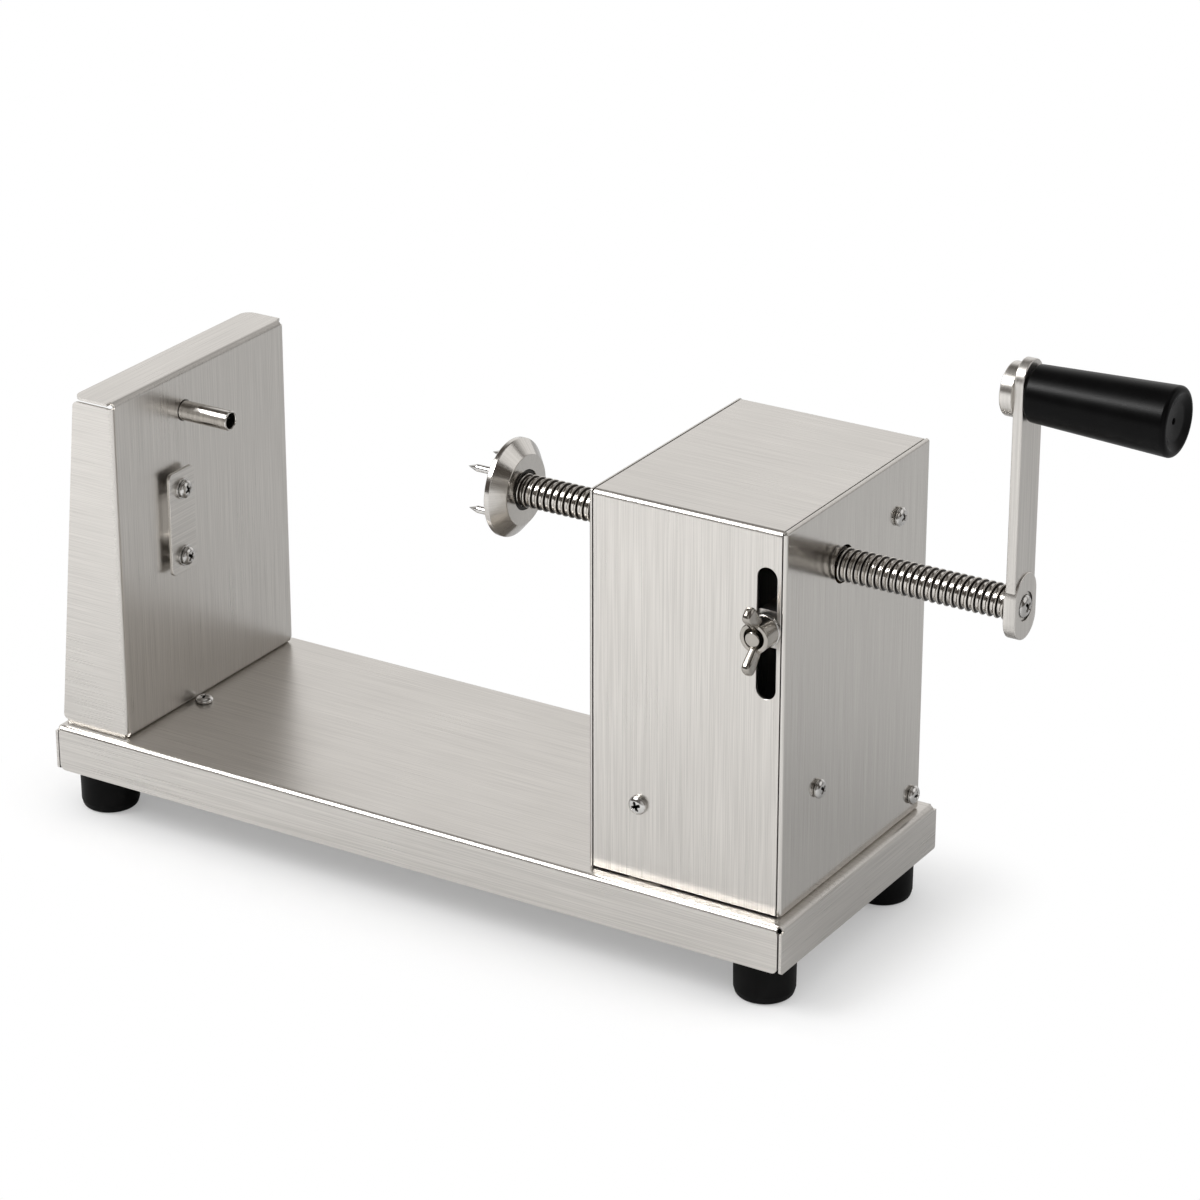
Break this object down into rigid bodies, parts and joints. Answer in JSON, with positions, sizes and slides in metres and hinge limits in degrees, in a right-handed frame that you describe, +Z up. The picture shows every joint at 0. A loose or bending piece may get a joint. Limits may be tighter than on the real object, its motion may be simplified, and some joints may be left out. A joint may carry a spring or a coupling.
{
  "type": "spiral potato cutter",
  "caption": "Hand cranked spiral cutter: a lead screw in a sheet metal housing pushes and turns a potato against a blade on an upright stand.",
  "frame": {"origin": "centre of the base tray in plan, on the surface that the four rubber feet stand on", "axes": "+X along the base from the blade stand towards the crank, +Y to the back, away from the operator's side with the clamp's wing nut, +Z up"},
  "size_m": [0.479, 0.1374, 0.268],
  "materials": {
    "brushed_sheet": "brushed stainless sheet",
    "polished_steel": "polished",
    "thread_steel": "rolled thread",
    "blade_steel": "ground",
    "fastener_steel": "bright plated",
    "inner_steel": "mill finish",
    "bearing_brass": "turned",
    "black_grip": "satin moulded",
    "black_rubber": "moulded"
  },
  "bodies": {
    "frame": {"base_tray": "brushed_sheet", "foot_front_left": "black_rubber", "foot_front_right": "black_rubber", "foot_rear_left": "black_rubber", "foot_rear_right": "black_rubber", "foot_bolts": "fastener_steel", "foot_nuts": "fastener_steel", "tray_screws": "fastener_steel", "tray_nuts": "fastener_steel", "blade_stand": "brushed_sheet", "skewer_tube": "polished_steel", "tube_collar": "fastener_steel", "blade": "blade_steel", "blade_spacers": "fastener_steel", "blade_washers": "fastener_steel", "blade_screws": "fastener_steel", "blade_nuts": "fastener_steel", "drive_cover": "brushed_sheet", "end_panel_right": "brushed_sheet", "end_panel_left": "brushed_sheet", "panel_screws": "fastener_steel", "panel_nuts": "fastener_steel", "drive_chassis": "inner_steel", "cover_screws": "fastener_steel", "cover_nuts": "fastener_steel", "bush_left": "bearing_brass", "bush_right": "bearing_brass", "nut_guide": "inner_steel"},
    "feed": {"feed_washer": "fastener_steel"},
    "crank": {"lead_screw": "thread_steel", "pusher_disc": "polished_steel", "pusher_prongs": "blade_steel", "crank_arm": "polished_steel", "crank_screw": "fastener_steel", "grip_pin": "polished_steel", "grip_clip": "fastener_steel"},
    "handle": {"grip": "black_grip"},
    "carriage": {"nut_carriage": "inner_steel", "half_nut": "bearing_brass", "clamp_stud": "fastener_steel"},
    "clamp_ring": {"clamp_washer": "fastener_steel"},
    "clamp_nut": {"wing_nut": "fastener_steel"}
  },
  "joints": [
    {"name": "screw_feed", "type": "slide", "parent": "frame", "child": "feed", "axis": [1, 0, 0], "range_m": [-0.0631, 0.0541]},
    {"name": "crank_turn", "type": "hinge", "parent": "feed", "child": "crank", "pos_m": [0, -0.012, 0.1702], "axis": [1, 0, 0], "range_deg": [-7560, 6480]},
    {"name": "grip_spin", "type": "hinge", "parent": "crank", "child": "handle", "pos_m": [0, -0.012, 0.2547], "axis": [1, 0, 0], "continuous": true},
    {"name": "nut_slide", "type": "slide", "parent": "frame", "child": "carriage", "axis": [0, 0, -1], "range_m": [0, 0.024]},
    {"name": "clamp_ease", "type": "slide", "parent": "carriage", "child": "clamp_ring", "axis": [0, -1, 0], "range_m": [0, 0.00201]},
    {"name": "wing_nut_turn", "type": "hinge", "parent": "clamp_ring", "child": "clamp_nut", "pos_m": [0.16235, 0, 0.1581], "axis": [0, -1, 0], "range_deg": [0, 720]}
  ],
  "couplings": [
    {"joint": "screw_feed", "follows": "crank_turn", "m_per_rad": 0.00047746},
    {"joint": "clamp_ease", "follows": "wing_nut_turn", "m_per_rad": 0.00015915}
  ]
}
